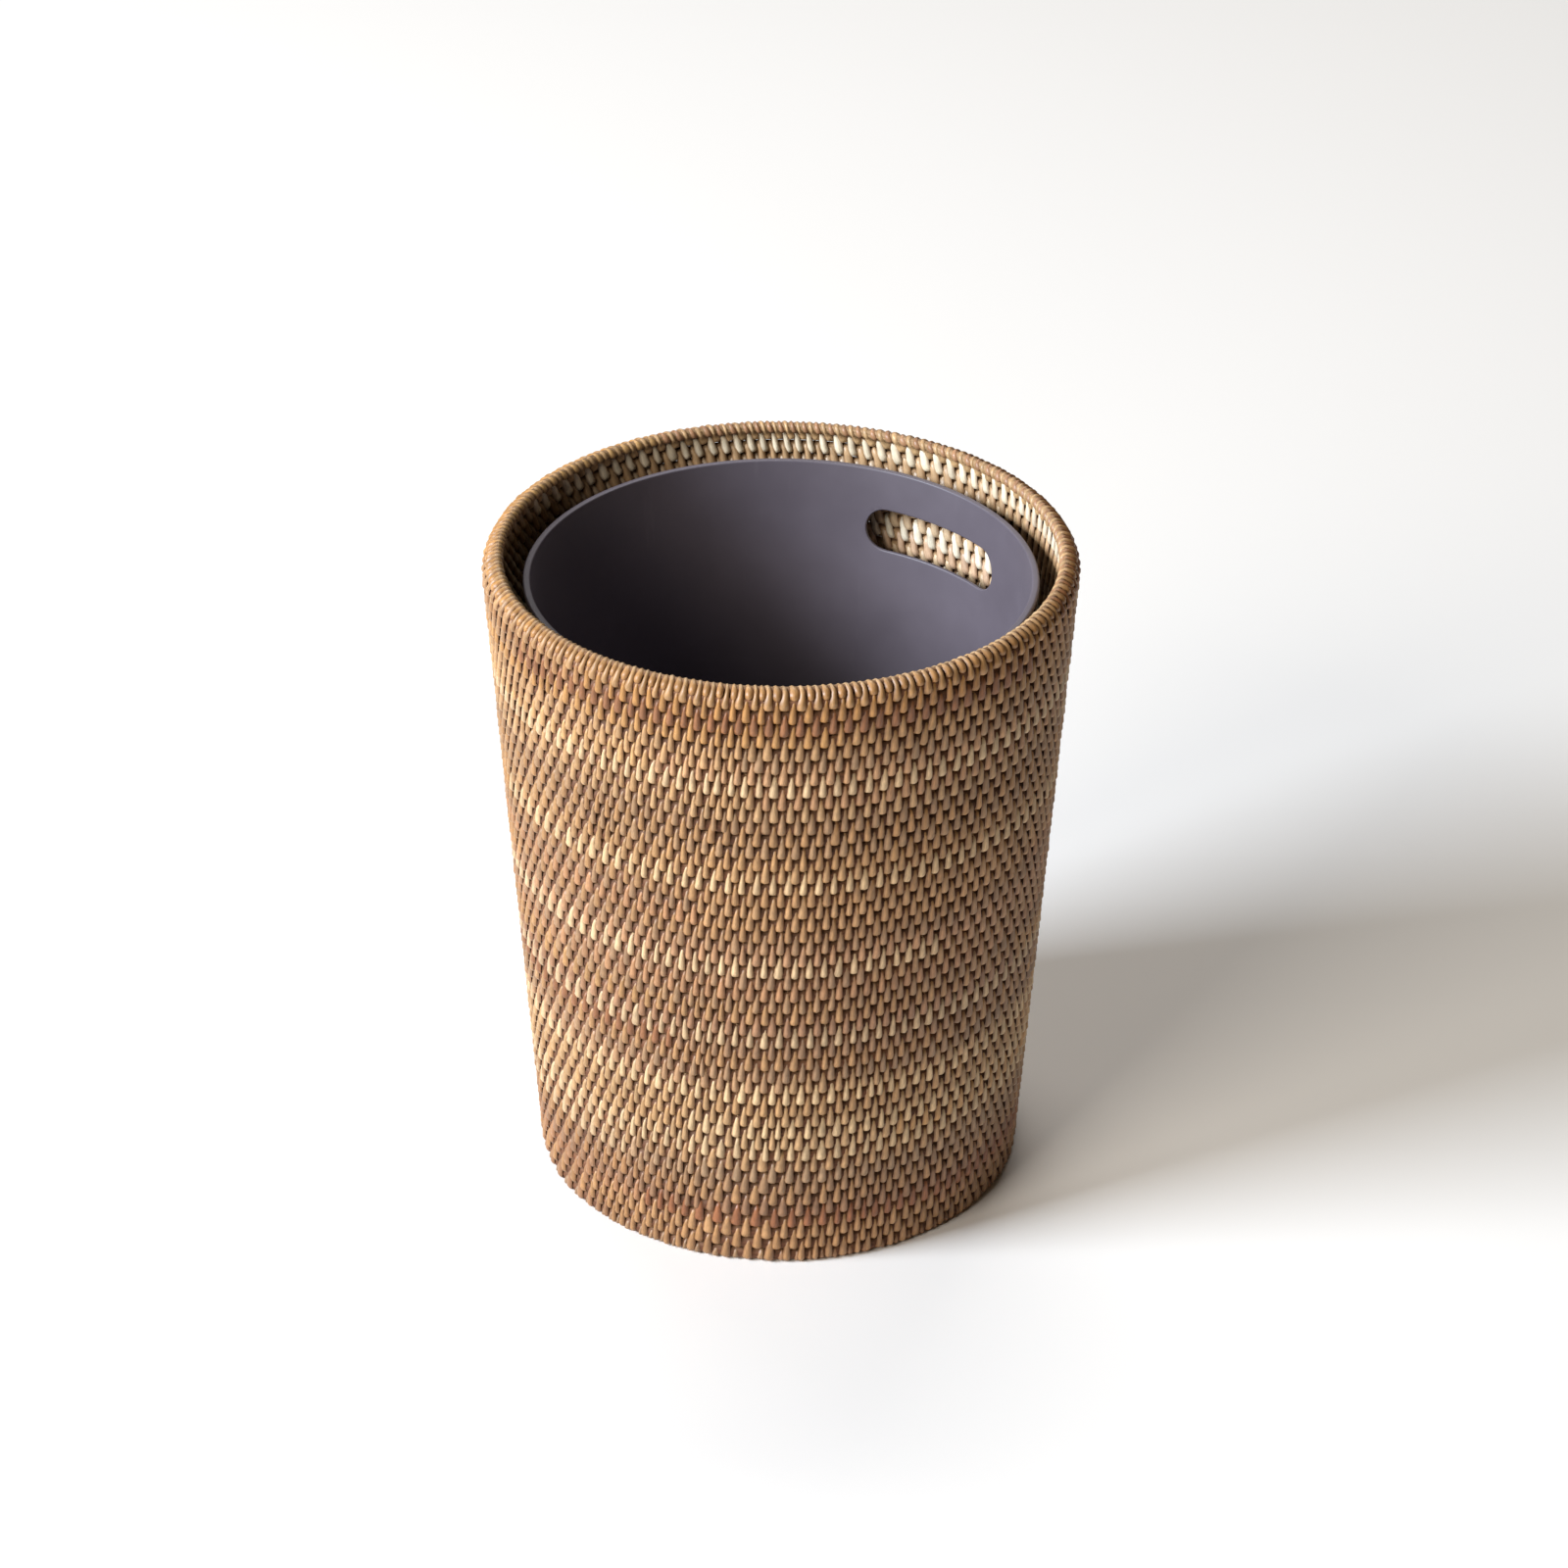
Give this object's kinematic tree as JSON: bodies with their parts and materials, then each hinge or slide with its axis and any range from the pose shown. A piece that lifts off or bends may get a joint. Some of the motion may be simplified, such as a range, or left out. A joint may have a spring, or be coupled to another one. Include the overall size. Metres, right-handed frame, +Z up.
{
  "type": "wastebasket",
  "caption": "Round tapered wastebasket of coiled, cane-bound rattan rods with a drawn-in rim and a lift-out plastic liner with finger slots.",
  "frame": {"origin": "on the floor at the centre of the round foot", "axes": "+Z up the basket's own axis; +X and -X through the middles of the liner's two finger slots; +Y to the side between them"},
  "size_m": [0.26, 0.26, 0.302],
  "materials": {
    "cane": "split cane binding strip, satin, honey to pale cream",
    "rod": "round rattan core rod, dull, dark brown between the strips",
    "liner": "moulded plastic, matt dark aubergine grey"
  },
  "bodies": {
    "basket": {"wall_rod_1": "rod", "wall_rod_2": "rod", "wall_rod_3": "rod", "wall_rod_4": "rod", "wall_rod_5": "rod", "wall_rod_6": "rod", "wall_rod_7": "rod", "wall_rod_8": "rod", "wall_binding_1": "cane", "wall_binding_2": "cane", "wall_binding_3": "cane", "wall_binding_4": "cane", "wall_binding_5": "cane", "wall_binding_6": "cane", "wall_binding_7": "cane", "wall_binding_8": "cane", "base_rod_1": "rod", "base_rod_2": "rod", "base_binding_1": "cane", "base_binding_2": "cane"},
    "liner_body": {"liner_floor": "liner", "liner_wall": "liner", "liner_band_1": "liner", "liner_band_2": "liner", "liner_rim": "liner"}
  },
  "joints": [
    {"name": "liner_lift", "type": "slide", "parent": "basket", "child": "liner_body", "axis": [0, 0, 1], "range_m": [0, 0.3]}
  ]
}
